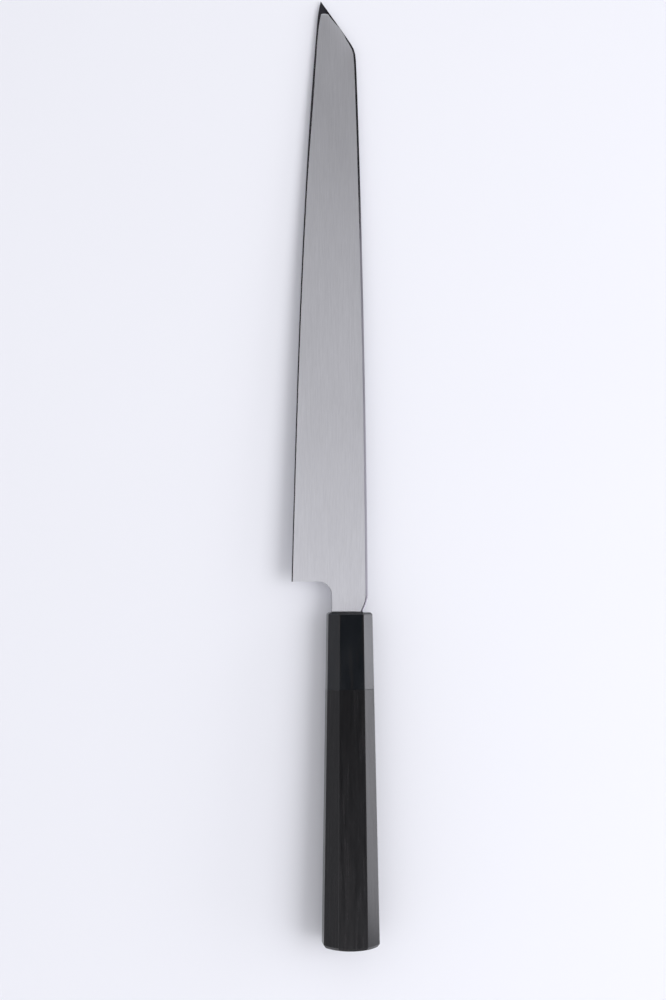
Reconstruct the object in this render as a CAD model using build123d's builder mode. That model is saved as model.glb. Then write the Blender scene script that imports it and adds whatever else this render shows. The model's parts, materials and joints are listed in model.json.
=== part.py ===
from build123d import *
from math import atan2, cos, radians, sin, sqrt, tan
import os

os.makedirs("parts", exist_ok=True)

# A long single-bevel slicing knife with a sword tip and an octagonal handle, lying on a table with its
# hollow-ground face up. All lengths are in millimetres. Stations are measured along the handle's middle
# line from the mouth of the ferrule: towards the tip they are positive, towards the butt negative.
# Offsets are measured across it: towards the spine they are positive, towards the cutting edge negative.

# Blade outline
blade_length = 270.0
heel_station = 13.6
edge_offset_at_heel = 25.65
edge_even_rise = 7.4
edge_curling_rise = 5.55
tip_offset = 12.0
tip_belly_length = 9.0
slope_angle = 36.0
slope_corner_radius = 14.0
spine_offset = 7.85
spine_even_fall = 0.8
spine_curling_fall = 4.2

# Neck between the heel and the handle
neck_edge_offset = 7.8
neck_spine_offset = 5.5
neck_shoulder_length = 8.0
neck_straight_length = 0.5
choil_radius = 6.0
neck_seat = 2.5

# Blade section
steel_thickness = 1.2
blade_thickness_at_mouth = 4.3
blade_thickness_at_corner = 2.1
edge_land = 0.15
bevel_width_at_heel = 17.6
bevel_width_at_tip = 10.2
spine_rounding = 0.2

# Hollow in the upper face, and the flat rim that is left round it
hollow_depth = 0.45
edge_rim_at_heel = 0.45
edge_rim_at_tip = 0.7
spine_rim_at_heel = 1.0
spine_rim_at_tip = 0.9
tip_flat_length = 4.6

# Tang
tang_length = 98.0
tang_width_at_shoulder = 9.6
tang_width_at_end = 5.0
tang_thickness_at_shoulder = 3.0
tang_thickness_at_end = 2.2
tang_end_chamfer = 1.0

# Octagonal handle
handle_length = 147.0
ferrule_length = 33.4
mouth_width = 19.4
mouth_thickness = 16.8
mouth_corner = 4.4
butt_width = 24.6
butt_thickness = 21.0
butt_corner = 5.85
facet_edge_rounding = 0.35
ferrule_front_chamfer = 0.8
joint_easing = 0.12
butt_dome_height = 1.9
butt_chamfer = 1.0

# Inside the handle
ferrule_front_wall = 6.0
dowel_diameter = 12.6
dowel_past_tang = 5.0
dowel_end_space = 1.0
glue_gap = 0.05
tang_clearance = 0.12
tang_end_space = 0.6
seal_gap = 0.35
seal_bead = 0.35
seal_chamfer = 0.2
seal_depth = 2.0

# Overruns of the cutting shapes
cut_overrun = 3.0
scoop_overrun = 0.4

# Shares of a length at which a smooth shape is fixed
edge_point_shares = (0.0, 0.3, 0.6, 0.85)
spine_point_shares = (0.0, 0.3, 0.65)
bevel_section_shares = (-0.1, 0.2, 0.5, 0.8, 1.1)
hollow_start_share = -0.03
hollow_sections = 22
settling_rounds = 12


def between(start, end, share):
    return start + (end - start) * share


# Outline curves of the blade, as offsets at a station
def edge_offset(station):
    share = (station - heel_station) / (blade_length - heel_station)
    return -edge_offset_at_heel + edge_even_rise * share + edge_curling_rise * share**3


def spine_line_offset(station):
    share = station / blade_length
    return spine_offset - spine_even_fall * share - spine_curling_fall * share**2


def slope_offset(station):
    return -tip_offset + (blade_length - station) * tan(radians(slope_angle))


def slope_crossing(offset_at):
    station = blade_length
    for settling in range(settling_rounds):
        station = blade_length - (offset_at(station) + tip_offset) / tan(radians(slope_angle))
    return station


def back_offset(station):
    spine = spine_line_offset(station)
    slope = slope_offset(station)
    half_turn = radians(slope_angle) / 2
    rounding = 2 * slope_corner_radius * (1 / cos(half_turn) - 1)
    return (spine + slope - sqrt((spine - slope) ** 2 + rounding**2)) / 2


# Thickness of the blade and width of its bevel at a station
corner_station = slope_crossing(spine_line_offset)


def blade_thickness(station):
    return between(blade_thickness_at_mouth, blade_thickness_at_corner, station / corner_station)


def bevel_width(station):
    share = (station - heel_station) / (blade_length - heel_station)
    return between(bevel_width_at_heel, bevel_width_at_tip, share)


def ridge_offset(station):
    return edge_offset(station) + bevel_width(station)


# Heights above and below the handle's middle line
weld_height = tang_thickness_at_shoulder / 2
face_height = weld_height + steel_thickness


def underside_height(station):
    return face_height - blade_thickness(station)


# The knife leans on the lower front edge of the ferrule and on the far end of the flat underside
ridge_end_station = slope_crossing(ridge_offset)
contact_thickness = between(mouth_thickness, butt_thickness, ferrule_front_chamfer / handle_length)
ferrule_contact_height = -contact_thickness / 2
blade_contact_rise = underside_height(ridge_end_station) - ferrule_contact_height
lean = atan2(blade_contact_rise, ridge_end_station + ferrule_front_chamfer)
middle_line_height = -ferrule_contact_height * cos(lean) - ferrule_front_chamfer * sin(lean)
middle_across = (edge_offset_at_heel - butt_width / 2) / 2
middle_along = (handle_length - blade_length) * cos(lean) / 2
knife_plane = Plane(
    origin=(middle_across, middle_along, middle_line_height),
    x_dir=(1, 0, 0),
    z_dir=(0, sin(lean), cos(lean)),
)
along_knife = Axis(knife_plane.origin, knife_plane.y_dir)
up_knife = Axis(knife_plane.origin, knife_plane.z_dir)


def across(station):
    origin = knife_plane.from_local_coords(Vector(0, station, 0))
    return Plane(origin=origin, x_dir=knife_plane.x_dir, z_dir=-knife_plane.y_dir)


def blade_outline(plane):
    edge_end = blade_length - tip_belly_length
    edge_length = edge_end - heel_station
    edge_stations = [heel_station + share * edge_length for share in edge_point_shares] + [edge_end]
    edge_points = [(edge_offset(station), station) for station in edge_stations]
    spine_length = neck_shoulder_length - corner_station
    spine_stations = [corner_station + share * spine_length for share in spine_point_shares]
    spine_points = [(spine_line_offset(station), station) for station in spine_stations]
    spine_end = (spine_line_offset(neck_shoulder_length), neck_shoulder_length)
    tip = (-tip_offset, blade_length)
    with BuildSketch(plane) as outline:
        with BuildLine():
            seat = Line((-neck_edge_offset, -neck_seat), (-neck_edge_offset, heel_station - choil_radius))
            choil_end = (-neck_edge_offset - choil_radius, heel_station)
            choil = TangentArc(seat @ 1, choil_end, tangent=seat % 1)
            heel = Line(choil @ 1, edge_points[0])
            edge = Spline(heel @ 1, *edge_points[1:])
            TangentArc(edge @ 1, tip, tangent=edge % 1)
            Line(tip, spine_points[0])
            spine = Spline(*spine_points, spine_end)
            shoulder_end = (neck_spine_offset, neck_straight_length)
            shoulder = TangentArc(spine @ 1, shoulder_end, tangent=spine % 1)
            Polyline(shoulder @ 1, (neck_spine_offset, -neck_seat), seat @ 0)
        make_face()
        corner = outline.vertices().sort_by_distance(Vector(*spine_points[0]))[0]
        fillet(corner, radius=slope_corner_radius)
    return outline.sketch


# The flat underside of the blade gets thinner towards the tip
underside_rise = (underside_height(corner_station) - underside_height(0)) / corner_station
underside_plane = Plane(
    origin=knife_plane.from_local_coords(Vector(0, 0, underside_height(0))),
    x_dir=knife_plane.x_dir,
    z_dir=knife_plane.z_dir - knife_plane.y_dir * underside_rise,
)
up_underside = Axis(underside_plane.origin, underside_plane.z_dir)

# The dowel runs past the end of the tang
dowel_depth_in_body = tang_length + dowel_past_tang - ferrule_length

# Pocket in the mouth of the ferrule that takes the neck and its seal
pocket_width = neck_edge_offset + neck_spine_offset + 2 * seal_gap
pocket_height = blade_thickness_at_mouth + 2 * seal_gap
pocket_across = (neck_spine_offset - neck_edge_offset) / 2
pocket_up = (face_height + underside_height(0)) / 2
pocket_rounding = 2 * seal_gap


def is_on_back(edge):
    middle = knife_plane.to_local_coords(edge @ 0.5)
    return middle.X > back_offset(middle.Y) - spine_rim_at_heel


def tang_width(station):
    return between(tang_width_at_shoulder, tang_width_at_end, -station / tang_length)


def tang_thickness(station):
    return between(tang_thickness_at_shoulder, tang_thickness_at_end, -station / tang_length)


def handle_corners(station):
    share = -station / handle_length
    side = between(mouth_width, butt_width, share) / 2
    top = between(mouth_thickness, butt_thickness, share) / 2
    corner = between(mouth_corner, butt_corner, share)
    upper_right = [(side, top - corner), (side - corner, top)]
    upper_left = [(-x, z) for x, z in reversed(upper_right)]
    lower_left = [(-x, -z) for x, z in upper_right]
    lower_right = [(x, -z) for x, z in reversed(upper_right)]
    corners = upper_right + upper_left + lower_left + lower_right
    return [across(station).from_local_coords(Vector(x, z)) for x, z in corners]


def handle_facets():
    mouth_corners = handle_corners(0)
    butt_corners = handle_corners(-handle_length)
    facets = []
    for place in range(len(mouth_corners)):
        facet_width = mouth_corners[place] - mouth_corners[place - 1]
        facet_run = butt_corners[place] - mouth_corners[place]
        outward = facet_width.cross(facet_run)
        facets.append(Plane(origin=mouth_corners[place], x_dir=facet_width, z_dir=outward))
    return facets


def dome_point(share):
    side = butt_width / 2
    dome_radius = (side**2 + butt_dome_height**2) / (2 * butt_dome_height)
    reach = share * (side + cut_overrun)
    return (reach, dome_radius - sqrt(dome_radius**2 - reach**2) - handle_length)


# Cutting shape of the bevel: everything below a ruled face from the edge to past the ridge
with BuildPart() as bevel_cutter:
    lowest = underside_height(0) - cut_overrun
    for share in bevel_section_shares:
        station = between(heel_station, blade_length, share)
        steepness = (blade_thickness(station) - edge_land) / bevel_width(station)
        edge_side = edge_offset(station) - cut_overrun
        ridge_side = ridge_offset(station) + cut_overrun
        edge_height = face_height - edge_land + cut_overrun * steepness
        ridge_height = underside_height(station) - cut_overrun * steepness
        with BuildSketch(across(station)):
            with BuildLine():
                Polyline(
                    (edge_side, edge_height),
                    (ridge_side, ridge_height),
                    (ridge_side, lowest),
                    (edge_side, lowest),
                    close=True,
                )
            make_face()
    loft()

# Cutting shape of the hollow: a long scoop whose sides run out into the flat rim
with BuildPart() as hollow_cutter:
    hollow_end = blade_length - tip_flat_length
    widest_hollow = spine_line_offset(heel_station) - edge_offset(heel_station)
    for section in range(hollow_sections + 1):
        share_left = 1 - section / hollow_sections
        share = between(1, hollow_start_share, share_left**2)
        station = share * hollow_end
        edge_rim = between(edge_rim_at_heel, edge_rim_at_tip, share)
        spine_rim = between(spine_rim_at_heel, spine_rim_at_tip, share)
        width = back_offset(station) - spine_rim - edge_offset(station) - edge_rim
        middle = edge_offset(station) + edge_rim + width / 2
        depth = hollow_depth * width / widest_hollow
        reach = width / 2 * sqrt(1 + scoop_overrun / depth)
        top_height = face_height + scoop_overrun
        with BuildSketch(across(station)):
            with BuildLine():
                scoop = Bezier(
                    (middle - reach, top_height),
                    (middle, face_height - 2 * depth - scoop_overrun),
                    (middle + reach, top_height),
                )
                Line(scoop @ 1, scoop @ 0)
            make_face()
    loft(ruled=True)

# Soft iron layer of the blade, with the neck and the tang
with BuildPart() as soft_iron_body:
    extrude(blade_outline(underside_plane), amount=blade_thickness_at_mouth, dir=knife_plane.z_dir)
    lower_edges = soft_iron_body.edges().group_by(up_underside)[0]
    fillet(lower_edges.filter_by(is_on_back), radius=spine_rounding)
    split(bisect_by=knife_plane.offset(weld_height), keep=Keep.BOTTOM)
    add(bevel_cutter.part, mode=Mode.SUBTRACT)
    for station in (0, -tang_length):
        with BuildSketch(across(station)):
            Rectangle(tang_width(station), tang_thickness(station))
    loft()
    end_edges = soft_iron_body.edges().group_by(along_knife)[0].filter_by(up_knife)
    chamfer(end_edges, length=tang_end_chamfer)
soft_iron_body.part.label = "soft_iron_body"
export_step(soft_iron_body.part, "parts/soft_iron_body.step")

# Hard steel layer: the cutting edge and the hollow-ground face
with BuildPart() as hard_steel_face:
    extrude(blade_outline(knife_plane.offset(weld_height)), amount=steel_thickness)
    upper_edges = hard_steel_face.edges().group_by(up_knife)[-1]
    fillet(upper_edges.filter_by(is_on_back), radius=spine_rounding)
    add(bevel_cutter.part, mode=Mode.SUBTRACT)
    add(hollow_cutter.part, mode=Mode.SUBTRACT)
hard_steel_face.part.label = "hard_steel_face"
export_step(hard_steel_face.part, "parts/hard_steel_face.step")

# Polished horn ferrule, with a pocket for the neck, a slot for the tang and a bore for the dowel
with BuildPart() as horn_ferrule:
    with BuildSketch(across(0)):
        Rectangle(butt_width, butt_width)
    extrude(amount=ferrule_length)
    for facet in handle_facets():
        split(bisect_by=facet, keep=Keep.BOTTOM)
    chamfer(horn_ferrule.faces().sort_by(along_knife)[-1].edges(), length=ferrule_front_chamfer)
    chamfer(horn_ferrule.faces().sort_by(along_knife)[0].edges(), length=joint_easing)
    facet_edges = horn_ferrule.edges().filter_by(lambda edge: edge.length > ferrule_length / 2)
    fillet(facet_edges, radius=facet_edge_rounding)
    with BuildSketch(across(0)):
        with Locations((pocket_across, pocket_up)):
            RectangleRounded(pocket_width, pocket_height, pocket_rounding)
    extrude(amount=neck_seat, mode=Mode.SUBTRACT)
    with BuildSketch(across(-neck_seat)):
        Rectangle(
            tang_width_at_shoulder + 2 * tang_clearance, tang_thickness_at_shoulder + 2 * tang_clearance
        )
    extrude(amount=ferrule_front_wall, mode=Mode.SUBTRACT)
    with BuildSketch(across(-ferrule_front_wall)):
        Circle(dowel_diameter / 2 + glue_gap)
    extrude(amount=ferrule_length, mode=Mode.SUBTRACT)
horn_ferrule.part.label = "horn_ferrule"
export_step(horn_ferrule.part, "parts/horn_ferrule.step")

# Ebony body of the handle, with a blind bore for the dowel and a gently domed butt
with BuildPart() as ebony_handle:
    with BuildSketch(across(-ferrule_length)):
        Rectangle(butt_width + cut_overrun, butt_width + cut_overrun)
    extrude(amount=handle_length - ferrule_length)
    for facet in handle_facets():
        split(bisect_by=facet, keep=Keep.BOTTOM)
    chamfer(ebony_handle.faces().sort_by(along_knife)[-1].edges(), length=joint_easing)
    with BuildSketch(knife_plane):
        with BuildLine():
            dome = ThreePointArc((0, -handle_length), dome_point(1 / 2), dome_point(1))
            Polyline(
                dome @ 1,
                ((dome @ 1).X, -handle_length - cut_overrun),
                (0, -handle_length - cut_overrun),
                dome @ 0,
            )
        make_face()
    revolve(axis=along_knife, mode=Mode.SUBTRACT)
    chamfer(ebony_handle.faces().sort_by(along_knife)[0].edges(), length=butt_chamfer)
    facet_edges = ebony_handle.edges().filter_by(lambda edge: edge.length > ferrule_length)
    fillet(facet_edges, radius=facet_edge_rounding)
    with BuildSketch(across(-ferrule_length)):
        Circle(dowel_diameter / 2 + glue_gap)
    extrude(amount=dowel_depth_in_body + dowel_end_space, mode=Mode.SUBTRACT)
ebony_handle.part.label = "ebony_handle"
export_step(ebony_handle.part, "parts/ebony_handle.step")

# Wooden dowel that joins the ferrule to the body, with the slot that the tang fills
with BuildPart() as tang_dowel:
    with BuildSketch(across(-ferrule_front_wall)):
        Circle(dowel_diameter / 2)
    extrude(amount=ferrule_length - ferrule_front_wall + dowel_depth_in_body)
    for station in (-ferrule_front_wall, -tang_length - tang_end_space):
        with BuildSketch(across(station)):
            Rectangle(
                tang_width(station) + 2 * tang_clearance, tang_thickness(station) + 2 * tang_clearance
            )
    loft(mode=Mode.SUBTRACT)
tang_dowel.part.label = "tang_dowel"
export_step(tang_dowel.part, "parts/tang_dowel.step")

# Black sealing compound that fills the pocket round the neck and stands a little proud
with BuildPart() as mouth_seal:
    with BuildSketch(across(seal_bead)):
        with Locations((pocket_across, pocket_up)):
            RectangleRounded(pocket_width, pocket_height, pocket_rounding)
    extrude(amount=seal_bead + seal_depth)
    chamfer(mouth_seal.faces().sort_by(along_knife)[-1].edges(), length=seal_chamfer)
    add(soft_iron_body.part, mode=Mode.SUBTRACT)
    add(hard_steel_face.part, mode=Mode.SUBTRACT)
mouth_seal.part.label = "mouth_seal"
export_step(mouth_seal.part, "parts/mouth_seal.step")
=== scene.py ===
"""A long slicing knife with a hollow-ground blade and an octagonal handle, lying on a pale table."""

import json
from math import cos, exp, pi, radians, sin, sqrt, tan

import bpy
from bpy.props import FloatProperty, FloatVectorProperty, PointerProperty
from bpy.types import Operator, Panel, PropertyGroup
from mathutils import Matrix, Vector


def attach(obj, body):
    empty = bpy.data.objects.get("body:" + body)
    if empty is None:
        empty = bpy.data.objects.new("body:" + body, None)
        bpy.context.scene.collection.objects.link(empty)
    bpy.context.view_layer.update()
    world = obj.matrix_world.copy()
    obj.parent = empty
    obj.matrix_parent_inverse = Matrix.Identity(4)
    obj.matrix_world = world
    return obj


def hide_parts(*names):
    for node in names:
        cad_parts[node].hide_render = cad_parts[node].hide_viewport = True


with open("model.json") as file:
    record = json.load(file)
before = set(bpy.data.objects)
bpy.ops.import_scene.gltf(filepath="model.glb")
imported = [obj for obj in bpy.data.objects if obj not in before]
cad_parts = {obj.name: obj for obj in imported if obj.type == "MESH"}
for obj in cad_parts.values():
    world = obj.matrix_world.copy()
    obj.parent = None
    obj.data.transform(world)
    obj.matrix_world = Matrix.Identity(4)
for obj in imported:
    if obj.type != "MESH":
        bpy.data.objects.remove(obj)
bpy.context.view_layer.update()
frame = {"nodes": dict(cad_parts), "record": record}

bl_info = {
    "name": "Slicing Knife",
    "version": (1, 0, 0),
    "blender": (4, 5, 0),
    "location": "View3D > Sidebar > Knife",
    "description": "Finishes a hollow-ground slicing knife around its packed model and sets it on a table",
    "category": "Object",
}

# All lengths are in metres. Stations run along the knife from the mouth of the ferrule: towards the tip
# they are positive. Offsets run across it: towards the spine they are positive.
BLADE_LENGTH = 0.270
HEEL_STATION = 0.0136
EDGE_OFFSET_AT_HEEL = 0.02565
EDGE_EVEN_RISE = 0.0074
EDGE_CURLING_RISE = 0.00555
TIP_OFFSET = 0.012
TIP_BELLY_LENGTH = 0.009
SLOPE_ANGLE = radians(36)
SLOPE_CORNER_RADIUS = 0.014
SPINE_OFFSET = 0.00785
SPINE_EVEN_FALL = 0.0008
SPINE_CURLING_FALL = 0.0042

# Neck between the heel and the handle
NECK_EDGE_OFFSET = 0.0078
NECK_SPINE_OFFSET = 0.0055
NECK_SHOULDER_LENGTH = 0.008
NECK_STRAIGHT_LENGTH = 0.0005
CHOIL_RADIUS = 0.006
NECK_SEAT = 0.0025

# Blade section
STEEL_THICKNESS = 0.0012
THICKNESS_AT_MOUTH = 0.0043
THICKNESS_AT_CORNER = 0.0021
CORNER_STATION = 0.2486
EDGE_LAND = 0.00015
BEVEL_WIDTH_AT_HEEL = 0.0176
BEVEL_WIDTH_AT_TIP = 0.0102
HOLLOW_END_STATION = BLADE_LENGTH - 0.0055
HOLLOW_END_ROUNDING = 0.0003
HOLLOW_END_SHARES = (0, 0.5, 0.8, 0.95, 1)
TIP_BLUNTING = 0.00001
TIP_RIM_GROWTH = 0.0007
TIP_RIM_STATION = 0.267
TIP_RIM_REACH = 0.006
EDGE_RIM_SWELL = 0.00028
EDGE_SWELL_STATION = 0.224
EDGE_SWELL_REACH = 0.022
SLOPE_RIM_STATION = 0.2572
SLOPE_RIM_REACH = 0.0035
SLOPE_RIM_LOSS = 0.85

# Tang
TANG_LENGTH = 0.098
TANG_WIDTHS = (0.0096, 0.005)
TANG_THICKNESSES = (0.003, 0.0022)
TANG_SHOULDER_LENGTH = 0.0001

# Heights above the middle line of the handle
WELD_HEIGHT = TANG_THICKNESSES[0] / 2
FACE_HEIGHT = WELD_HEIGHT + STEEL_THICKNESS

# How finely the blade is divided across: into spaces between columns of vertices, on the side of the cutting
# edge and on the side of the spine. A few of them belong to a rim, to the steel's bevel or to the ridge.
EDGE_SIDE_SPACES = 12
SPINE_SIDE_SPACES = 24
LAST_COLUMN = EDGE_SIDE_SPACES + SPINE_SIDE_SPACES
RIM_SPACES = 1
STEEL_BEVEL_SPACES = 5
RIDGE_SPACES = 9
RIDGE_COLUMN = EDGE_SIDE_SPACES + RIDGE_SPACES

# How finely it is divided along: into spaces between stations
CHOIL_SPACES = 14
NECK_SPACES = 8
BLADE_SPACES = 110
TIP_SPACES = 26
TIP_ZONE_LENGTH = 0.012
TANG_SPACES = 6
CLEAR_OF_ROUNDING = 0.0001

# Modelling: the two skins of a layer, how far apart they start, and how a layer is finished
LOWER_SKIN, UPPER_SKIN = 0, 1
SKIN_RAISE = 1
MERGE_DISTANCE = 2e-6
SPINE_ROUNDING_SEGMENTS = 3
SMOOTH_ANGLE = radians(35)

# Map for the bevel's pattern, in decimetres, with the weld line on it: the width of its waves, and where its
# bright line and then the iron fade in
MAP_NAME = "bevel_map"
MAP_SCALE = 10
WELD_WAVES = (-0.006, 0.006)
WELD_LINE_FADE = (0.036, 0.0375)
WELD_IRON_FADE = (0.0375, 0.0385)

# Directions of the knife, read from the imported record: its sheath slides along the blade from the heel
sheath = next(mount for mount in frame["record"]["mounts"] if mount["name"] == "sheath")
ACROSS = Vector((1, 0, 0))
ALONG = Vector(sheath["axis"]).normalized()
UP = ACROSS.cross(ALONG)
MOUTH = Vector(sheath["pos_m"]) - ALONG * HEEL_STATION

# Point that the camera looks at, from the mouth of the ferrule
VIEW_TARGET = Vector((-0.0075, 0.04937, 0.00262))

# Rim along the lower spine, which is less polished: where that fades in along the knife, above the neck and
# towards the spine, in object coordinates, and the roughness that it adds
DULL_RIM_FADE = (0.128, 0.096)
DULL_RIM_START = (-0.06, -0.05)
DULL_RIM_SIDE = (0.006, 0.009)
DULL_RIM_ROUGHNESS = 0.27

# Colours of details, and numbers that several finishes share: the usual values of a noise and the depth of
# the finest scratches in steel
FORGE_BLACK = (0.03, 0.028, 0.027)
FORGE_BROWN = (0.11, 0.09, 0.08)
HORN_STREAK = (0.016, 0.013, 0.012)
EBONY_STREAK = (0.0045, 0.0036, 0.004)
EBONY_PORE = (0.002, 0.002, 0.002)
COMPOUND_DARK = (0.006, 0.006, 0.007)
COMPOUND_LIGHT = (0.02, 0.02, 0.021)
NOISE_RANGE = (0.3, 0.7)
SCRATCH_DEPTH = 0.00001

# Light of the studio on every surface, and what the camera sees past the table
EVEN_LIGHT = 0.74
BACKDROP_COLOUR = (0.64, 0.645, 0.69)

# Light of the studio as gloss shows it: its tint, the walls near the floor and higher up, their share beyond
# the tip, the cornice behind the handle and beyond the tip, and the dark ceiling over the knife
GLOSS_TINT = (1.0, 0.99, 1.06)
FLOOR_SIDE_LIGHT = 0.39
WALL_LIGHT = 0.7
FAR_WALL_SHARE = 0.5
NEAR_CORNICE_LIGHT = 3.0
FAR_CORNICE_LIGHT = 0.02
CEILING_LIGHT = 0.055

# Where that light changes, by the direction of a ray. The walls and cornices go by its rise, and the far
# wall by its turn towards the tip.
LOW_WALL_BAND = (0.05, 0.3)
NEAR_CORNICE_BAND = (0.65, 0.85)
FAR_CORNICE_BAND = (0.35, 0.65)
FAR_WALL_BAND = (0, 0.6)

# The ceiling, and the change from the near side to the far side, go by where a ray would meet a ceiling at a
# height of 1. The least rise keeps that place finite.
LEAST_RISE = 0.02
NEAR_TO_FAR_BAND = (-0.3, 0.25)
CEILING_MIDDLE = (0.02, 0.08)
CEILING_REACH = (0.3, 0.42)
CEILING_EDGE_BAND = (0.5, 1.4)

# Lamps: their places, widths and heights, and the point near the knife that two of them face
LAMP_TARGET = Vector((0, -0.05, 0.01))
SOFT_LAMP_PLACE = Vector((0.88, -0.2, 1.2))
SOFT_LAMP_SIZE = (1.17, 0.91)
WINDOW_PLACE = Vector((2.6, 0.17, 0.58))
WINDOW_SIZE = (2.9, 1.16)
CARD_PLACE = Vector((0.36, 0.04, 0.002))
CARD_SIZE = (0.6, 0.52)
TABLE_SIZE = 30


class KnifeBladeSettings(PropertyGroup):
    """Sizes and colours of the blade that a user would change"""

    hollow_depth: FloatProperty(
        name="Hollow depth", description="Depth of the hollow at its widest", default=0.00045, unit="LENGTH"
    )
    edge_rim_at_heel: FloatProperty(
        name="Edge rim at heel", description="Rim along the cutting edge, at the heel", default=0.00047, unit="LENGTH"
    )
    edge_rim_at_tip: FloatProperty(
        name="Edge rim at tip", description="Rim along the cutting edge, at the tip", default=0.00074, unit="LENGTH"
    )
    spine_rim_at_heel: FloatProperty(
        name="Spine rim at heel", description="Rim along the spine, at the heel", default=0.001, unit="LENGTH"
    )
    spine_rim_at_tip: FloatProperty(
        name="Spine rim at tip", description="Rim along the spine, at the tip", default=0.0009, unit="LENGTH"
    )
    spine_rounding: FloatProperty(
        name="Spine rounding", description="Radius of the eased edges of the spine", default=0.0001, unit="LENGTH"
    )
    hollow_colour: FloatVectorProperty(
        name="Hollow", description="Satin steel of the hollow face", default=(0.715, 0.72, 0.73), subtype="COLOR"
    )
    rim_colour: FloatVectorProperty(
        name="Rim", description="Mirror-polished rim", default=(0.5, 0.485, 0.54), subtype="COLOR"
    )
    iron_colour: FloatVectorProperty(
        name="Iron", description="Soft iron of the flat", default=(0.5, 0.5, 0.52), subtype="COLOR"
    )


class KnifeHandleSettings(PropertyGroup):
    """Colours of the handle that a user would change"""

    horn_colour: FloatVectorProperty(
        name="Horn", description="Polished horn of the ferrule", default=(0.0025, 0.004, 0.006), subtype="COLOR"
    )
    ebony_colour: FloatVectorProperty(
        name="Ebony", description="Dark ground of the ebony", default=(0.0014, 0.0013, 0.0018), subtype="COLOR"
    )
    dowel_colour: FloatVectorProperty(
        name="Dowel", description="Pale wood of the dowel", default=(0.55, 0.42, 0.27), subtype="COLOR"
    )


class KnifeStageSettings(PropertyGroup):
    """The table, the light and the camera"""

    camera_distance: FloatProperty(
        name="Camera distance", description="From the camera to the knife", default=0.8, unit="LENGTH"
    )
    camera_tilt: FloatProperty(
        name="Camera tilt", description="Lean of the camera to the edge side", default=radians(5.87), subtype="ANGLE"
    )
    view_height: FloatProperty(
        name="View height", description="Length that the picture shows at the blade", default=0.4375, unit="LENGTH"
    )
    table_colour: FloatVectorProperty(
        name="Table", description="Pale table top", default=(0.85, 0.855, 0.925), subtype="COLOR"
    )
    lamp_power: FloatProperty(name="Lamp power", description="Power of the soft lamp", default=8.5)
    window_power: FloatProperty(name="Window power", description="Power of the low window", default=22.0)
    card_power: FloatProperty(name="Card power", description="Power of the bright card on the table", default=2.6)


def between(start, end, share):
    return start + (end - start) * share


def bell(station, middle, reach):
    """1 at the middle, and less and less on both sides of it"""
    return exp(-(((station - middle) / reach) ** 2))


def past_heel(station):
    """Share of the way from the heel to the tip"""
    return (station - HEEL_STATION) / (BLADE_LENGTH - HEEL_STATION)


# Outline curves of the blade, as offsets at a station
def edge_curve(station):
    share = past_heel(station)
    return -EDGE_OFFSET_AT_HEEL + EDGE_EVEN_RISE * share + EDGE_CURLING_RISE * share**3


def edge_offset(station):
    belly_start = BLADE_LENGTH - TIP_BELLY_LENGTH
    if station <= belly_start:
        return edge_curve(station)
    into_belly = (station - belly_start) / TIP_BELLY_LENGTH
    return edge_curve(station) + (-TIP_OFFSET - edge_curve(BLADE_LENGTH)) * into_belly**2


def spine_curve(station):
    share = station / BLADE_LENGTH
    return SPINE_OFFSET - SPINE_EVEN_FALL * share - SPINE_CURLING_FALL * share**2


def back_offset(station):
    spine = spine_curve(station)
    slope = -TIP_OFFSET + (BLADE_LENGTH - station) * tan(SLOPE_ANGLE)
    rounding = 2 * SLOPE_CORNER_RADIUS * (1 / cos(SLOPE_ANGLE / 2) - 1)
    fade = min(1, (BLADE_LENGTH - station) / SLOPE_CORNER_RADIUS)
    rounded = (spine + slope - sqrt((spine - slope) ** 2 + (rounding * fade) ** 2)) / 2
    return max(rounded, edge_offset(station))


def shoulder_offset(station):
    """Spine side of the neck: an arc that leaves the spine smoothly, then a short straight stretch"""
    if station >= NECK_SHOULDER_LENGTH:
        return back_offset(station)
    if station <= NECK_STRAIGHT_LENGTH:
        return NECK_SPINE_OFFSET
    start = spine_curve(NECK_SHOULDER_LENGTH)
    run = NECK_SHOULDER_LENGTH - NECK_STRAIGHT_LENGTH
    turn_in = start - NECK_SPINE_OFFSET
    radius = (run**2 + turn_in**2) / (2 * turn_in)
    down = NECK_SHOULDER_LENGTH - station
    return start - radius + sqrt(radius**2 - down**2)


def choil_offset(station):
    """Edge side of the neck: a quarter circle up to the heel"""
    above = max(0, station - (HEEL_STATION - CHOIL_RADIUS))
    return -NECK_EDGE_OFFSET - CHOIL_RADIUS + sqrt(max(0, CHOIL_RADIUS**2 - above**2))


# Section of the blade at a station
def blade_thickness(station):
    return between(THICKNESS_AT_MOUTH, THICKNESS_AT_CORNER, station / CORNER_STATION)


def underside_height(station):
    return FACE_HEIGHT - blade_thickness(station)


def bevel_width(station):
    return between(BEVEL_WIDTH_AT_HEEL, BEVEL_WIDTH_AT_TIP, past_heel(station))


def bevel_steepness(station):
    return (blade_thickness(station) - EDGE_LAND) / bevel_width(station)


def bevel_height(offset, station):
    return FACE_HEIGHT - EDGE_LAND - (offset - edge_offset(station)) * bevel_steepness(station)


def weld_offset(station):
    """Where the weld between steel and iron comes out on the bevel"""
    return edge_offset(station) + (STEEL_THICKNESS - EDGE_LAND) / bevel_steepness(station)


def ridge_offset(station):
    return edge_offset(station) + bevel_width(station)


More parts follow.
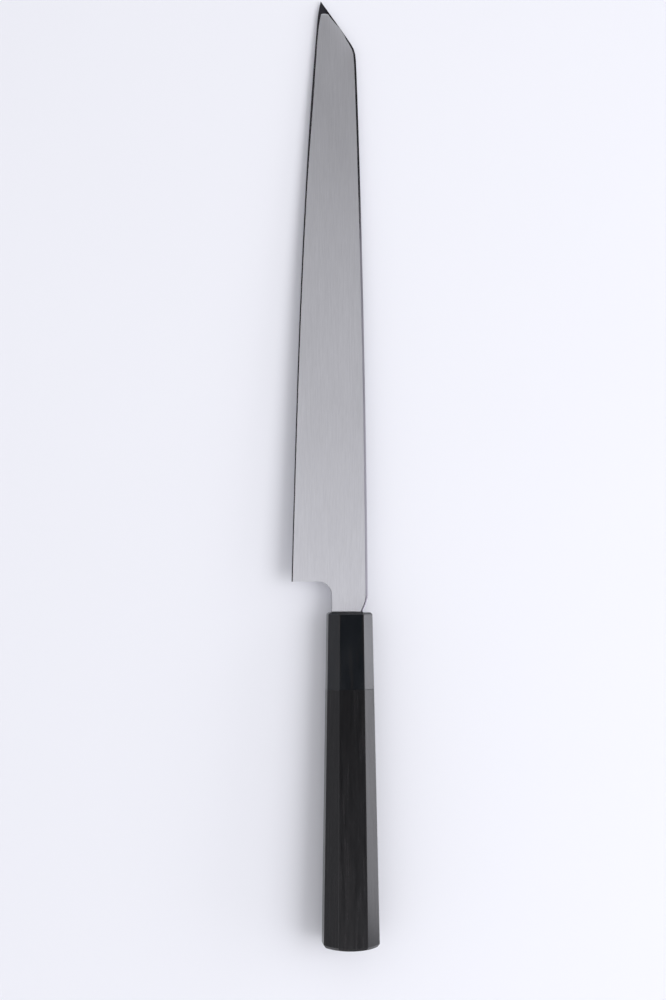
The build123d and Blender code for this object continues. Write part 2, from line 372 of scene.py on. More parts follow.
def hollow_span(station, blade):
    """Edge side and spine side of the hollow, which has a rounded end near the tip"""
    share = station / BLADE_LENGTH
    edge_rim = between(blade.edge_rim_at_heel, blade.edge_rim_at_tip, share)
    edge_rim += TIP_RIM_GROWTH * bell(station, TIP_RIM_STATION, TIP_RIM_REACH)
    edge_rim += EDGE_RIM_SWELL * bell(station, EDGE_SWELL_STATION, EDGE_SWELL_REACH)
    edge_side = edge_offset(station) + edge_rim
    spine_rim = between(blade.spine_rim_at_heel, blade.spine_rim_at_tip, share)
    spine_rim *= 1 - SLOPE_RIM_LOSS * bell(station, SLOPE_RIM_STATION, SLOPE_RIM_REACH)
    spine_side = shoulder_offset(station) - spine_rim
    middle = (edge_side + spine_side) / 2
    half_width = max(0, spine_side - edge_side) / 2
    if station > HOLLOW_END_STATION - HOLLOW_END_ROUNDING:
        into_end = min(1, (station - HOLLOW_END_STATION + HOLLOW_END_ROUNDING) / HOLLOW_END_ROUNDING)
        half_width *= sqrt(1 - into_end**2)
    return middle - half_width, middle + half_width


def face_height(offset, station, blade):
    """Height of the upper face: flat on the rim and a shallow scoop in the hollow"""
    edge_side, spine_side = hollow_span(station, blade)
    half_width = (spine_side - edge_side) / 2
    if half_width <= 0:
        return FACE_HEIGHT
    widest_side = spine_curve(HEEL_STATION) - edge_offset(HEEL_STATION)
    depth = blade.hollow_depth * 2 * half_width / widest_side
    share = (offset - edge_side - half_width) / half_width
    return FACE_HEIGHT - depth * max(0, 1 - share**2)


def spread(marks, spaces):
    """Places across the blade: each stretch between two marks is divided evenly"""
    places = [marks[0]]
    for start, end, count in zip(marks, marks[1:], spaces):
        places += [between(start, end, step / count) for step in range(1, count + 1)]
    return places


def narrow_row(spine_side):
    """Places across the neck or the tang, where the columns of the edge side all lie on the first place"""
    return [spine_side[0]] * EDGE_SIDE_SPACES + spine_side


def in_order(marks):
    """The marks with none before the one to its left or past the last"""
    ordered = [marks[0]]
    for mark in marks[1:]:
        ordered.append(min(max(mark, ordered[-1]), marks[-1]))
    return ordered


def split_offset(station):
    """Line along the blade above the choil, where its edge side and spine side meet"""
    heel_width = back_offset(HEEL_STATION) - edge_offset(HEEL_STATION)
    heel_share = (EDGE_OFFSET_AT_HEEL - NECK_EDGE_OFFSET - CHOIL_RADIUS) / heel_width
    return between(edge_offset(station), back_offset(station), heel_share)


def blade_stations():
    """Stations from the heel to the tip, closer together near the tip"""
    tip_start = BLADE_LENGTH - TIP_ZONE_LENGTH
    body = [between(HEEL_STATION, tip_start, step / BLADE_SPACES) for step in range(BLADE_SPACES)]
    tip_end = BLADE_LENGTH - TIP_BLUNTING
    tip = [between(tip_start, tip_end, step / TIP_SPACES) for step in range(TIP_SPACES + 1)]
    rounding_start = HOLLOW_END_STATION - HOLLOW_END_ROUNDING
    rounding = [between(rounding_start, HOLLOW_END_STATION, share) for share in HOLLOW_END_SHARES]
    tip = [station for station in tip if min(abs(station - each) for each in rounding) > CLEAR_OF_ROUNDING]
    return body + sorted(tip + rounding)


def neck_stations():
    """Stations from the end of the neck up to the heel, following the choil's quarter circle"""
    choil_start = HEEL_STATION - CHOIL_RADIUS
    neck = [between(-NECK_SEAT, choil_start, step / NECK_SPACES) for step in range(NECK_SPACES)]
    turns = [pi / 2 * step / CHOIL_SPACES for step in range(CHOIL_SPACES)]
    return neck + [choil_start + CHOIL_RADIUS * sin(turn) for turn in turns]


def select_none():
    bpy.ops.object.select_all(action="DESELECT")


def make_active(piece):
    """Selects one piece alone"""
    select_none()
    piece.select_set(True)
    bpy.context.view_layer.objects.active = piece


def prepare(piece, kind):
    """Readies one piece for vertices, edges or faces to be selected in code, with none selected yet"""
    make_active(piece)
    bpy.ops.object.mode_set(mode="EDIT")
    bpy.ops.mesh.select_mode(type=kind)
    bpy.ops.mesh.select_all(action="DESELECT")
    bpy.ops.object.mode_set(mode="OBJECT")


def start_layer(name, stations, notch_rows):
    """A grid with a row for each station and a notch below the heel, raised to two skins with walls"""
    select_none()
    rows = len(stations) - 1
    bpy.ops.mesh.primitive_grid_add(x_subdivisions=LAST_COLUMN, y_subdivisions=rows, size=1, location=(0, 0, 0))
    piece = bpy.context.object
    piece.name = name
    mesh = piece.data
    mesh.name = name

    def grid_place(point):
        """Column and row of a point of the grid, whose middle is at the origin"""
        return (point.x + 0.5) * LAST_COLUMN, (point.y + 0.5) * rows

    column_layer = mesh.attributes.new("column", "INT", "POINT")
    row_layer = mesh.attributes.new("row", "INT", "POINT")
    for vertex in mesh.vertices:
        column, row = grid_place(vertex.co)
        column_layer.data[vertex.index].value = round(column)
        row_layer.data[vertex.index].value = round(row)
    prepare(piece, "FACE")
    for face in mesh.polygons:
        column, row = grid_place(face.center)
        face.select = column < EDGE_SIDE_SPACES and row < notch_rows
    bpy.ops.object.mode_set(mode="EDIT")
    bpy.ops.mesh.delete(type="FACE")
    bpy.ops.mesh.select_all(action="SELECT")
    bpy.ops.mesh.extrude_region_move(TRANSFORM_OT_translate={"value": (0, 0, SKIN_RAISE)})
    bpy.ops.object.mode_set(mode="OBJECT")
    return piece


def read_marks(mesh, name):
    """Values of an attribute on the vertices, such as the column of each"""
    return [item.value for item in mesh.attributes[name].data]


def place(offset, station, height):
    return MOUTH + ACROSS * offset + ALONG * station + UP * height


def knife_place(point):
    """Offset, station and height of a point"""
    out = Vector(point) - MOUTH
    return out.dot(ACROSS), out.dot(ALONG), out.dot(UP)


def shape_layer(piece, stations, lower_places, upper_places, lower_height, upper_height):
    """Moves each vertex of the two skins to its place on the blade"""
    mesh = piece.data
    columns, rows = read_marks(mesh, "column"), read_marks(mesh, "row")
    lower_rows = [lower_places(station) for station in stations]
    upper_rows = [upper_places(station) for station in stations]
    tops = [vertex.co.z > SKIN_RAISE / 2 for vertex in mesh.vertices]
    top_layer = mesh.attributes.new("top", "INT", "POINT")
    for vertex, column, row, top in zip(mesh.vertices, columns, rows, tops):
        station = stations[row]
        offset = (upper_rows if top else lower_rows)[row][column]
        height = (upper_height if top else lower_height)(offset, station)
        vertex.co = place(offset, station, height)
        top_layer.data[vertex.index].value = UPPER_SKIN if top else LOWER_SKIN


def select_columns(piece, skin, chosen):
    """Selects the edges that run along the blade in the chosen columns of one skin"""
    mesh = piece.data
    columns, skins = read_marks(mesh, "column"), read_marks(mesh, "top")
    for edge in mesh.edges:
        ends = edge.vertices
        same = columns[ends[0]] == columns[ends[1]] and columns[ends[0]] in chosen
        edge.select = same and all(skins[end] == skin for end in ends)


def mark_creases(piece, skin, chosen):
    prepare(piece, "EDGE")
    select_columns(piece, skin, chosen)
    bpy.ops.object.mode_set(mode="EDIT")
    bpy.ops.mesh.mark_sharp()
    bpy.ops.object.mode_set(mode="OBJECT")


def clean_layer(piece):
    """Merges what lies together, such as the folded rows of the neck, and turns the faces outwards"""
    prepare(piece, "VERT")
    bpy.ops.object.mode_set(mode="EDIT")
    bpy.ops.mesh.select_all(action="SELECT")
    bpy.ops.mesh.remove_doubles(threshold=MERGE_DISTANCE)
    bpy.ops.mesh.dissolve_degenerate(threshold=MERGE_DISTANCE)
    bpy.ops.mesh.select_all(action="SELECT")
    bpy.ops.mesh.normals_make_consistent(inside=False)
    bpy.ops.object.mode_set(mode="OBJECT")


def ease_back(piece, skin, radius):
    """Rounds the edge of one skin along the spine and the slope"""
    prepare(piece, "EDGE")
    select_columns(piece, skin, {LAST_COLUMN})
    mesh = piece.data
    for edge in mesh.edges:
        stations = [knife_place(mesh.vertices[end].co)[1] for end in edge.vertices]
        edge.select = edge.select and min(stations) > 0 and max(stations) < BLADE_LENGTH - 2 * radius
    bpy.ops.object.mode_set(mode="EDIT")
    bpy.ops.mesh.bevel(
        offset=radius, offset_type="OFFSET", segments=SPINE_ROUNDING_SEGMENTS, affect="EDGES", clamp_overlap=True
    )
    bpy.ops.object.mode_set(mode="OBJECT")


def lay_map(piece):
    """A map for the bevel's pattern: distance from the cutting edge, and station, both in decimetres"""
    mesh = piece.data
    for layer in list(mesh.uv_layers):
        mesh.uv_layers.remove(layer)
    layer = mesh.uv_layers.new(name=MAP_NAME)
    for loop in mesh.loops:
        offset, station, _ = knife_place(mesh.vertices[loop.vertex_index].co)
        layer.data[loop.index].uv = (MAP_SCALE * (offset - edge_offset(station)), MAP_SCALE * station)


def finish_shape(piece, eased_skin, rounding):
    """Cleans a layer, eases its back, and gives it smooth shading and the bevel's map"""
    clean_layer(piece)
    ease_back(piece, eased_skin, rounding)
    clean_layer(piece)
    make_active(piece)
    bpy.ops.object.shade_smooth_by_angle(angle=SMOOTH_ANGLE, keep_sharp_edges=True)
    lay_map(piece)


def finish_piece(piece, node):
    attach(piece, "root")
    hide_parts(node)


# Nodes of a material, or of the world in the same way
def new_material(name, metallic=0.0):
    material = bpy.data.materials.new(name)
    material.use_nodes = True
    shader = material.node_tree.nodes["Principled BSDF"]
    shader.inputs["Metallic"].default_value = metallic
    return material, shader


def add_node(owner, kind, **inputs):
    node = owner.node_tree.nodes.new(kind)
    for name, value in inputs.items():
        node.inputs[name].default_value = value
    return node


def join(owner, source, target):
    owner.node_tree.links.new(source, target)


def put(owner, socket, value):
    """Gives a socket a plain value or the output of a node"""
    if isinstance(value, bpy.types.NodeSocket):
        join(owner, value, socket)
    else:
        socket.default_value = value


def combine(owner, operation, first, second):
    node = add_node(owner, "ShaderNodeMath")
    node.operation = operation
    put(owner, node.inputs[0], first)
    put(owner, node.inputs[1], second)
    return node.outputs["Value"]


def to_range(owner, value, old, new=(0, 1)):
    """Moves a value from one range to another and keeps it there. The ends may be outputs of nodes."""
    node = add_node(owner, "ShaderNodeMapRange")
    values = {"Value": value, "From Min": old[0], "From Max": old[1], "To Min": new[0], "To Max": new[1]}
    for name, each in values.items():
        put(owner, node.inputs[name], each)
    return node.outputs["Result"]


def parts_of(owner, vector):
    """The X, Y and Z of a vector"""
    node = add_node(owner, "ShaderNodeSeparateXYZ")
    join(owner, vector, node.inputs["Vector"])
    return node.outputs


def mix_colours(owner, share, first, second):
    """Blend of two colours, each a plain colour or the output of a node"""
    node = add_node(owner, "ShaderNodeMix")
    node.data_type = "RGBA"
    colour_inputs = [socket for socket in node.inputs if socket.type == "RGBA"]
    join(owner, share, node.inputs["Factor"])
    for socket, colour in zip(colour_inputs, (first, second)):
        put(owner, socket, colour if isinstance(colour, bpy.types.NodeSocket) else (*colour, 1))
    return next(socket for socket in node.outputs if socket.type == "RGBA")


# Patterns
def stretch(material, places, scale):
    """Coordinates stretched by a scale for each direction"""
    mapping = add_node(material, "ShaderNodeMapping", Scale=scale)
    join(material, places, mapping.inputs["Vector"])
    return mapping.outputs["Vector"]


def object_places(material):
    return add_node(material, "ShaderNodeTexCoord").outputs["Object"]


def map_places(material):
    """Coordinates of the bevel's map"""
    coordinates = add_node(material, "ShaderNodeUVMap")
    coordinates.uv_map = MAP_NAME
    return coordinates.outputs["UV"]


def noise(material, places, scale=1.0, detail=4.0, roughness=0.55, distortion=0.0):
    node = add_node(
        material, "ShaderNodeTexNoise", Scale=scale, Detail=detail, Roughness=roughness, Distortion=distortion
    )
    join(material, places, node.inputs["Vector"])
    return node.outputs[0]


def object_noise(material, scale, **options):
    """Noise in the object's own coordinates, finer in the directions with a greater scale"""
    return noise(material, stretch(material, object_places(material), scale), **options)


def shade(colour, factor):
    return tuple(min(1, channel * factor) for channel in colour)


def two_shades(material, share, colour, darker, lighter):
    return mix_colours(material, share, shade(colour, darker), shade(colour, lighter))


# What reaches the shader
def paint(material, shader, colour):
    join(material, colour, shader.inputs["Base Color"])


def roughen(material, shader, pattern, low, high):
    """Roughness that follows a noise"""
    join(material, to_range(material, pattern, NOISE_RANGE, (low, high)), shader.inputs["Roughness"])


def bump(material, shader, height, strength, distance):
    node = add_node(material, "ShaderNodeBump", Strength=strength, Distance=distance)
    join(material, height, node.inputs["Height"])
    join(material, node.outputs["Normal"], shader.inputs["Normal"])


# Materials of the blade
def satin_hollow(blade):
    """Satin steel with fine grinding streaks along the blade"""
    material, shader = new_material("satin_hollow", metallic=1)
    streaks = object_noise(material, (2200, 9, 2200), detail=3)
    fine = object_noise(material, (7000, 45, 7000), detail=2)
    clouds = object_noise(material, (70, 14, 70), detail=3)
    pattern = combine(material, "ADD", streaks, fine)
    share = to_range(material, pattern, (0.75, 1.25))
    paint(material, shader, two_shades(material, share, blade.hollow_colour, 0.95, 1.04))
    roughen(material, shader, clouds, 0.48, 0.53)
    bump(material, shader, pattern, strength=0.1, distance=SCRATCH_DEPTH)
    return material


def dark_rim(blade):
    """Rim polished on a fine stone to a mirror, less so along the lower spine"""
    material, shader = new_material("dark_rim", metallic=1)
    wear = object_noise(material, (900, 40, 900), detail=3)
    paint(material, shader, two_shades(material, wear, blade.rim_colour, 0.9, 1.1))
    place = parts_of(material, object_places(material))
    lower = to_range(material, place["Y"], DULL_RIM_FADE)
    above_neck = to_range(material, place["Y"], DULL_RIM_START)
    spine_side = to_range(material, place["X"], DULL_RIM_SIDE)
    dull = combine(material, "MULTIPLY", combine(material, "MULTIPLY", lower, above_neck), spine_side)
    added = combine(material, "MULTIPLY", dull, DULL_RIM_ROUGHNESS)
    polish = to_range(material, wear, NOISE_RANGE, (0.1, 0.16))
    join(material, combine(material, "ADD", polish, added), shader.inputs["Roughness"])
    bump(material, shader, wear, strength=0.05, distance=SCRATCH_DEPTH)
    return material


def polished_side(blade):
    """Polished sides of the spine, the choil and the heel"""
    material, shader = new_material("polished_side", metallic=1)
    lines = object_noise(material, (400, 25, 3000), detail=4)
    paint(material, shader, two_shades(material, lines, blade.iron_colour, 0.85, 1.1))
    roughen(material, shader, lines, 0.2, 0.3)
    bump(material, shader, lines, strength=0.1, distance=SCRATCH_DEPTH)
    return material


def weld_line(material):
    """Shares of the soft iron and of the bright line before it, which both fade in along the wavy weld"""
    waves = noise(material, stretch(material, map_places(material), (0, 1, 1)), scale=9, detail=5, roughness=0.6)
    from_edge = parts_of(material, map_places(material))["X"]
    moved = combine(material, "ADD", from_edge, to_range(material, waves, NOISE_RANGE, WELD_WAVES))
    return to_range(material, moved, WELD_IRON_FADE), to_range(material, moved, WELD_LINE_FADE)


def clouded_bevel(blade):
    """The bevel: bright steel along the edge, and stone-clouded iron above a wavy weld line"""
    material, shader = new_material("clouded_bevel", metallic=1)
    on_iron, near_line = weld_line(material)
    clouds = noise(material, stretch(material, map_places(material), (60, 12, 1)), detail=6, roughness=0.65)
    scratches = noise(material, stretch(material, map_places(material), (30, 900, 1)), detail=3)
    share = to_range(material, combine(material, "ADD", clouds, scratches), (0.7, 1.3))
    iron = two_shades(material, share, blade.iron_colour, 0.92, 1.2)
    steel = two_shades(material, share, blade.hollow_colour, 0.68, 0.76)
    edge_part = mix_colours(material, near_line, steel, shade(blade.hollow_colour, 1.25))
    paint(material, shader, mix_colours(material, on_iron, edge_part, iron))
    iron_roughness = combine(material, "MULTIPLY", on_iron, to_range(material, clouds, NOISE_RANGE, (0.42, 0.55)))
    join(material, combine(material, "MAXIMUM", iron_roughness, 0.2), shader.inputs["Roughness"])
    bump(material, shader, scratches, strength=0.1, distance=SCRATCH_DEPTH)
    return material


def satin_flat(blade):
    """The flat of the soft iron, with grinding lines along the blade"""
    material, shader = new_material("satin_flat", metallic=1)
    lines = object_noise(material, (3000, 12, 3000), detail=4)
    clouds = object_noise(material, (120, 25, 120), detail=4)
    share = to_range(material, combine(material, "ADD", lines, clouds), (0.7, 1.3))
    paint(material, shader, two_shades(material, share, blade.iron_colour, 0.85, 1.12))
    roughen(material, shader, clouds, 0.34, 0.46)
    bump(material, shader, lines, strength=0.15, distance=SCRATCH_DEPTH)
    return material


def dark_tang(blade):
    """Tang left dark from the forge"""
    material, shader = new_material("dark_tang", metallic=0.6)
    scale = object_noise(material, (300, 200, 300), detail=6, roughness=0.7)
    paint(material, shader, mix_colours(material, scale, FORGE_BLACK, FORGE_BROWN))
    shader.inputs["Roughness"].default_value = 0.7
    bump(material, shader, scale, strength=0.4, distance=0.0001)
    return material


# Materials of the handle and the table
def polished_horn(handle):
    """Black horn, polished, with faint brown streaks along it"""
    material, shader = new_material("polished_horn")
    streaks = object_noise(material, (420, 22, 420), detail=5, distortion=0.4)
    share = to_range(material, streaks, (0.56, 0.78))
    paint(material, shader, mix_colours(material, share, handle.horn_colour, HORN_STREAK))
    roughen(material, shader, object_noise(material, (160, 60, 160), detail=3), 0.17, 0.24)
    shader.inputs["IOR"].default_value = 1.61
    fine = object_noise(material, (2500, 260, 2500), detail=2)
    bump(material, shader, fine, strength=0.08, distance=0.00002)
    return material


def waxed_ebony(handle):
    """Black wood with fine lengthwise grain and short open pores"""
    material, shader = new_material("waxed_ebony")
    grain = object_noise(material, (900, 14, 900), detail=6, roughness=0.6, distortion=0.3)
    bands = object_noise(material, (140, 5, 140), detail=3)
    pores = object_noise(material, (5200, 240, 5200), detail=1)
    share = to_range(material, combine(material, "ADD", grain, bands), (1.0, 1.4))
    ground = mix_colours(material, share, handle.ebony_colour, EBONY_STREAK)
    in_pore = to_range(material, pores, (0.68, 0.72))
    paint(material, shader, mix_colours(material, in_pore, ground, EBONY_PORE))
    roughen(material, shader, grain, 0.21, 0.29)
    shader.inputs["IOR"].default_value = 1.52
    height = combine(material, "SUBTRACT", combine(material, "MULTIPLY", grain, 0.3), in_pore)
    bump(material, shader, height, strength=0.15, distance=0.00003)
    return material


def black_compound():
    """Sealing compound round the neck, a little uneven"""
    material, shader = new_material("black_compound")
    lumps = object_noise(material, (1500, 1500, 1500), detail=3)
    paint(material, shader, mix_colours(material, lumps, COMPOUND_DARK, COMPOUND_LIGHT))
    roughen(material, shader, lumps, 0.35, 0.55)
    bump(material, shader, lumps, strength=0.3, distance=0.00005)
    return material


def plain_wood(handle):
    """Pale straight-grained wood of the dowel"""
    material, shader = new_material("plain_wood")
    grain = object_noise(material, (1200, 18, 1200), detail=5)
    paint(material, shader, two_shades(material, grain, handle.dowel_colour, 0.75, 1.15))
    shader.inputs["Roughness"].default_value = 0.65
    bump(material, shader, grain, strength=0.2, distance=0.00004)
    return material


def table_top(stage):
    """Smooth pale table"""
    material, shader = new_material("table_top")
    mottle = object_noise(material, (6, 6, 6), detail=2)
    paint(material, shader, two_shades(material, mottle, stage.table_colour, 0.99, 1.01))
    roughen(material, shader, mottle, 0.5, 0.56)
    shader.inputs["Specular IOR Level"].default_value = 0.3
    return material


def face_spans(piece):
    """For each face: its lowest and highest column, and the skin that it lies in, or no skin for a wall"""
    mesh = piece.data
    columns, skins = read_marks(mesh, "column"), read_marks(mesh, "top")
    for face in mesh.polygons:
        face_columns = [columns[index] for index in face.vertices]
        face_skins = {skins[index] for index in face.vertices}
        yield face, min(face_columns), max(face_columns), face_skins.pop() if len(face_skins) == 1 else None


class OBJECT_OT_knife_hard_steel(Operator):
    """Model the hard steel layer: the hollow face, its rim and the cutting edge"""

    bl_idname = "object.knife_hard_steel"
    bl_label = "Hard Steel Layer"

    def execute(self, context):
        blade = context.scene.knife_blade
        neck = neck_stations()
        stations = neck + blade_stations()

        def lower_places(station):
            back = shoulder_offset(station)
            if station < HEEL_STATION:
                return narrow_row(spread([choil_offset(station), back], [SPINE_SIDE_SPACES]))
            marks = in_order([edge_offset(station), weld_offset(station), split_offset(station), back])
            return spread(marks, [STEEL_BEVEL_SPACES, EDGE_SIDE_SPACES - STEEL_BEVEL_SPACES, SPINE_SIDE_SPACES])

        def upper_places(station):
            back = shoulder_offset(station)
            spine_spaces = [SPINE_SIDE_SPACES - RIM_SPACES, RIM_SPACES]
            if station < HEEL_STATION:
                rim = min(blade.spine_rim_at_heel, back - choil_offset(station))
                return narrow_row(spread([choil_offset(station), back - rim, back], spine_spaces))
            edge_side, spine_side = hollow_span(station, blade)
            marks = in_order([edge_offset(station), edge_side, split_offset(station), spine_side, back])
            return spread(marks, [RIM_SPACES, EDGE_SIDE_SPACES - RIM_SPACES, *spine_spaces])

        def lower_height(offset, station):
            return max(WELD_HEIGHT, min(FACE_HEIGHT - EDGE_LAND, bevel_height(offset, station)))

        def upper_height(offset, station):
            return face_height(offset, station, blade)

        piece = start_layer("hollow_steel_face", stations, len(neck))
        shape_layer(piece, stations, lower_places, upper_places, lower_height, upper_height)
        finishes = (satin_hollow, dark_rim, polished_side, clouded_bevel)
        for finish in finishes:
            piece.data.materials.append(finish(blade))
        for face, low, high, skin in face_spans(piece):
            on_rim = high <= RIM_SPACES or low >= LAST_COLUMN - RIM_SPACES
            face_finish = dark_rim if on_rim else satin_hollow
            finish = {UPPER_SKIN: face_finish, LOWER_SKIN: clouded_bevel}.get(skin, polished_side)
            face.material_index = finishes.index(finish)
        mark_creases(piece, UPPER_SKIN, {RIM_SPACES, LAST_COLUMN - RIM_SPACES})
        mark_creases(piece, LOWER_SKIN, {STEEL_BEVEL_SPACES})
        finish_shape(piece, UPPER_SKIN, blade.spine_rounding)
        finish_piece(piece, "hard_steel_face")
        return {"FINISHED"}


class OBJECT_OT_knife_soft_iron(Operator):
    """Model the soft iron layer: bevel, ridge, flat, neck and tang"""

    bl_idname = "object.knife_soft_iron"
    bl_label = "Soft Iron Layer"

    def execute(self, context):
        blade = context.scene.knife_blade
        tang_start = -NECK_SEAT - TANG_SHOULDER_LENGTH
        tang = [between(-TANG_LENGTH, tang_start, step / TANG_SPACES) for step in range(TANG_SPACES + 1)]
        neck, body = neck_stations(), blade_stations()
        # The iron ends where the weld meets the back, just short of the tip
        end = next(station for station in body if weld_offset(station) >= back_offset(station))
        stations = tang + neck + [station for station in body if station <= end]
        ridge_spaces = [RIDGE_SPACES, SPINE_SIDE_SPACES - RIDGE_SPACES]

        def left_side(station):
            if station < HEEL_STATION:
                return choil_offset(station)
            return min(weld_offset(station), back_offset(station))

        def tang_places(station):
            half_width = between(*TANG_WIDTHS, -station / TANG_LENGTH) / 2
            return narrow_row(spread([-half_width, half_width], [SPINE_SIDE_SPACES]))

        def lower_places(station):
            if station <= tang_start:
                return tang_places(station)
            left, ridge, back = left_side(station), ridge_offset(station), shoulder_offset(station)
            if station < HEEL_STATION:
                return narrow_row(spread(in_order([left, ridge, back]), ridge_spaces))
            return spread(in_order([left, split_offset(station), ridge, back]), [EDGE_SIDE_SPACES, *ridge_spaces])

        def upper_places(station):
            if station <= tang_start:
                return tang_places(station)
            left, back = left_side(station), shoulder_offset(station)
            if station < HEEL_STATION:
                return narrow_row(spread([left, back], [SPINE_SIDE_SPACES]))
            return spread(in_order([left, split_offset(station), back]), [EDGE_SIDE_SPACES, SPINE_SIDE_SPACES])

        def tang_height(station):
            return between(*TANG_THICKNESSES, -station / TANG_LENGTH) / 2

        def lower_height(offset, station):
            if station <= tang_start:
                return -tang_height(station)
            underside = underside_height(station)
            if offset > ridge_offset(station):
                return underside
            return min(WELD_HEIGHT, max(underside, bevel_height(offset, station)))

        def upper_height(offset, station):
            return tang_height(station) if station <= tang_start else WELD_HEIGHT

        piece = start_layer("soft_iron_blade", stations, len(tang) + len(neck))
        shape_layer(piece, stations, lower_places, upper_places, lower_height, upper_height)
        finishes = (clouded_bevel, satin_flat, polished_side, dark_tang)
        for finish in finishes:
            piece.data.materials.append(finish(blade))
        for face, low, high, skin in face_spans(piece):
            if knife_place(face.center)[1] < -NECK_SEAT:
                finish = dark_tang
            elif skin == LOWER_SKIN:
                finish = clouded_bevel if high <= RIDGE_COLUMN else satin_flat
            else:
                finish = polished_side
            face.material_index = finishes.index(finish)
        mark_creases(piece, LOWER_SKIN, {RIDGE_COLUMN})
        finish_shape(piece, LOWER_SKIN, blade.spine_rounding)
        finish_piece(piece, "soft_iron_body")
        return {"FINISHED"}


class OBJECT_OT_knife_handle(Operator):
    """Finish the ferrule, the handle body, the seal and the hidden dowel"""

    bl_idname = "object.knife_handle"
    bl_label = "Handle"

    def execute(self, context):
        handle = context.scene.knife_handle
        finishes = {
            "horn_ferrule": polished_horn(handle),
            "ebony_handle": waxed_ebony(handle),
            "mouth_seal": black_compound(),
            "tang_dowel": plain_wood(handle),
        }
        for name, material in finishes.items():
            frame["nodes"][name].material_slots[0].material = material
        # The satin neck would blur the ferrule's dark front over itself, so its gloss doesn't show the ferrule
        frame["nodes"]["horn_ferrule"].visible_glossy = False
        return {"FINISHED"}


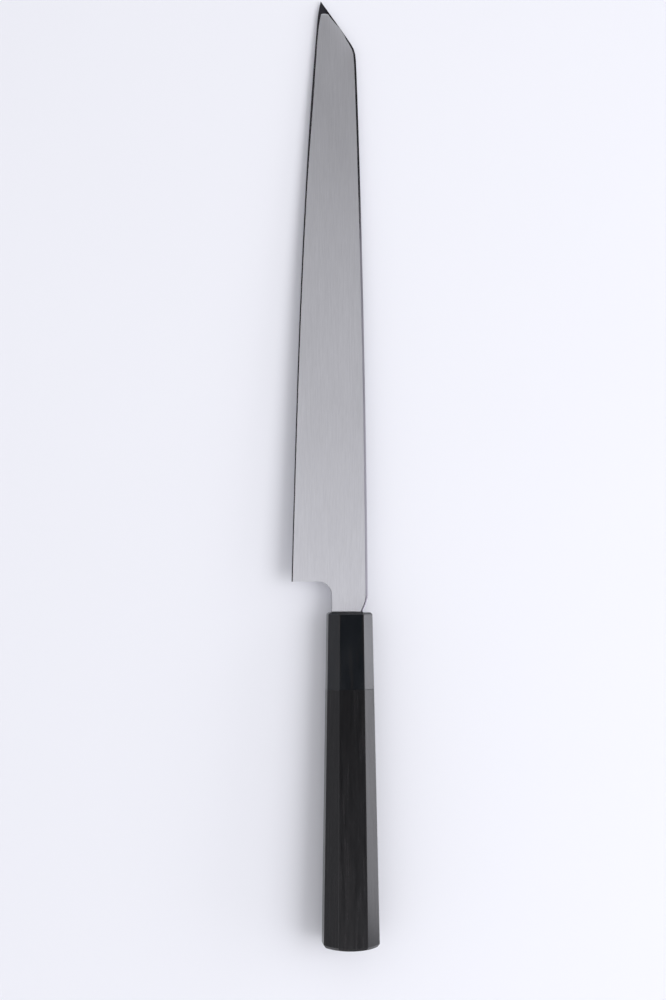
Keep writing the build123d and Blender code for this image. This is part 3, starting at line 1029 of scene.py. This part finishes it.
class OBJECT_OT_knife_stage(Operator):
    """Set the table, the soft light and the camera above the knife"""

    bl_idname = "object.knife_stage"
    bl_label = "Stage"

    def execute(self, context):
        stage = context.scene.knife_stage
        self.lay_table(stage)
        self.light_world(context.scene)
        self.hang_lamp("soft_lamp", SOFT_LAMP_PLACE, LAMP_TARGET, SOFT_LAMP_SIZE, stage.lamp_power)
        self.hang_lamp("low_window", WINDOW_PLACE, LAMP_TARGET, WINDOW_SIZE, stage.window_power)
        above_card = CARD_PLACE + Vector((0, 0, 1))
        self.hang_lamp("bright_card", CARD_PLACE, above_card, CARD_SIZE, stage.card_power, in_gloss=True)
        self.place_camera(context.scene, stage)
        context.scene.view_settings.view_transform = "Standard"
        return {"FINISHED"}

    def lay_table(self, stage):
        select_none()
        bpy.ops.mesh.primitive_plane_add(size=TABLE_SIZE, location=(0, 0, 0))
        table = bpy.context.object
        table.name = "table"
        table.data.materials.append(table_top(stage))

    def light_world(self, scene):
        """Even light all round. Gloss shows bright walls, a dimmer far side and a dark ceiling instead."""
        world = bpy.data.worlds.new("studio")
        scene.world = world
        world.use_nodes = True
        direction = parts_of(world, add_node(world, "ShaderNodeTexCoord").outputs["Generated"])
        rise = combine(world, "MAXIMUM", direction["Z"], LEAST_RISE)
        sideways = combine(world, "DIVIDE", direction["X"], rise)
        lengthways = combine(world, "DIVIDE", direction["Y"], rise)
        low_walls = to_range(world, direction["Z"], LOW_WALL_BAND, (FLOOR_SIDE_LIGHT, WALL_LIGHT))
        far_share = to_range(world, direction["Y"], FAR_WALL_BAND, (1, FAR_WALL_SHARE))
        low_walls = combine(world, "MULTIPLY", low_walls, far_share)
        near_side = to_range(world, direction["Z"], NEAR_CORNICE_BAND, (low_walls, NEAR_CORNICE_LIGHT))
        far_side = to_range(world, direction["Z"], FAR_CORNICE_BAND, (low_walls, FAR_CORNICE_LIGHT))
        walls = to_range(world, lengthways, NEAR_TO_FAR_BAND, (near_side, far_side))
        squares = []
        for run, middle, reach in zip((sideways, lengthways), CEILING_MIDDLE, CEILING_REACH):
            share = combine(world, "DIVIDE", combine(world, "SUBTRACT", run, middle), reach)
            squares.append(combine(world, "MULTIPLY", share, share))
        from_middle = combine(world, "ADD", *squares)
        in_gloss = to_range(world, from_middle, CEILING_EDGE_BAND, (CEILING_LIGHT, walls))
        tinted = add_node(world, "ShaderNodeVectorMath")
        tinted.operation = "SCALE"
        tinted.inputs[0].default_value = GLOSS_TINT
        join(world, in_gloss, tinted.inputs["Scale"])
        rays = add_node(world, "ShaderNodeLightPath")
        lit = mix_colours(world, rays.outputs["Is Glossy Ray"], (EVEN_LIGHT,) * 3, tinted.outputs["Vector"])
        shown = mix_colours(world, rays.outputs["Is Camera Ray"], lit, BACKDROP_COLOUR)
        join(world, shown, world.node_tree.nodes["Background"].inputs["Color"])

    def hang_lamp(self, name, centre, target, size, power, in_gloss=False):
        """A soft lamp with its long side level, that either lights surfaces or is only seen in gloss"""
        data = bpy.data.lights.new(name, "AREA")
        data.shape = "RECTANGLE"
        data.size, data.size_y = size
        data.energy = power
        data.color = GLOSS_TINT if in_gloss else (1, 1, 1)
        lamp = bpy.data.objects.new(name, data)
        bpy.context.scene.collection.objects.link(lamp)
        lamp.location = centre
        lamp.rotation_euler = (target - centre).to_track_quat("-Z", "Y").to_euler()
        lamp.visible_camera = False
        lamp.visible_glossy = in_gloss
        lamp.visible_diffuse = not in_gloss

    def place_camera(self, scene, stage):
        data = bpy.data.cameras.new("camera")
        camera = bpy.data.objects.new("camera", data)
        scene.collection.objects.link(camera)
        target = MOUTH + VIEW_TARGET
        back = Vector((-sin(stage.camera_tilt), 0, cos(stage.camera_tilt)))
        camera.location = target + back * stage.camera_distance
        camera.rotation_euler = (0, -stage.camera_tilt, 0)
        data.lens = data.sensor_width * stage.camera_distance / stage.view_height
        scene.camera = camera


class VIEW3D_PT_knife(Panel):
    """Lists the steps that finish the knife"""

    bl_label = "Knife"
    bl_space_type = "VIEW_3D"
    bl_region_type = "UI"
    bl_category = "Knife"

    def draw(self, context):
        layout = self.layout
        for operator in operators:
            layout.operator(operator.bl_idname)
        for settings in (context.scene.knife_blade, context.scene.knife_handle, context.scene.knife_stage):
            box = layout.box()
            for name in settings.__annotations__:
                box.prop(settings, name)


operators = (
    OBJECT_OT_knife_hard_steel,
    OBJECT_OT_knife_soft_iron,
    OBJECT_OT_knife_handle,
    OBJECT_OT_knife_stage,
)
settings_groups = (KnifeBladeSettings, KnifeHandleSettings, KnifeStageSettings)
classes = (*settings_groups, *operators, VIEW3D_PT_knife)


def register():
    for each in classes:
        bpy.utils.register_class(each)
    bpy.types.Scene.knife_blade = PointerProperty(type=KnifeBladeSettings)
    bpy.types.Scene.knife_handle = PointerProperty(type=KnifeHandleSettings)
    bpy.types.Scene.knife_stage = PointerProperty(type=KnifeStageSettings)


def unregister():
    del bpy.types.Scene.knife_stage
    del bpy.types.Scene.knife_handle
    del bpy.types.Scene.knife_blade
    for each in reversed(classes):
        bpy.utils.unregister_class(each)


def main():
    register()
    bpy.ops.object.knife_hard_steel()
    bpy.ops.object.knife_soft_iron()
    bpy.ops.object.knife_handle()
    bpy.ops.object.knife_stage()
    bpy.context.view_layer.update()


if __name__ == "__main__":
    main()
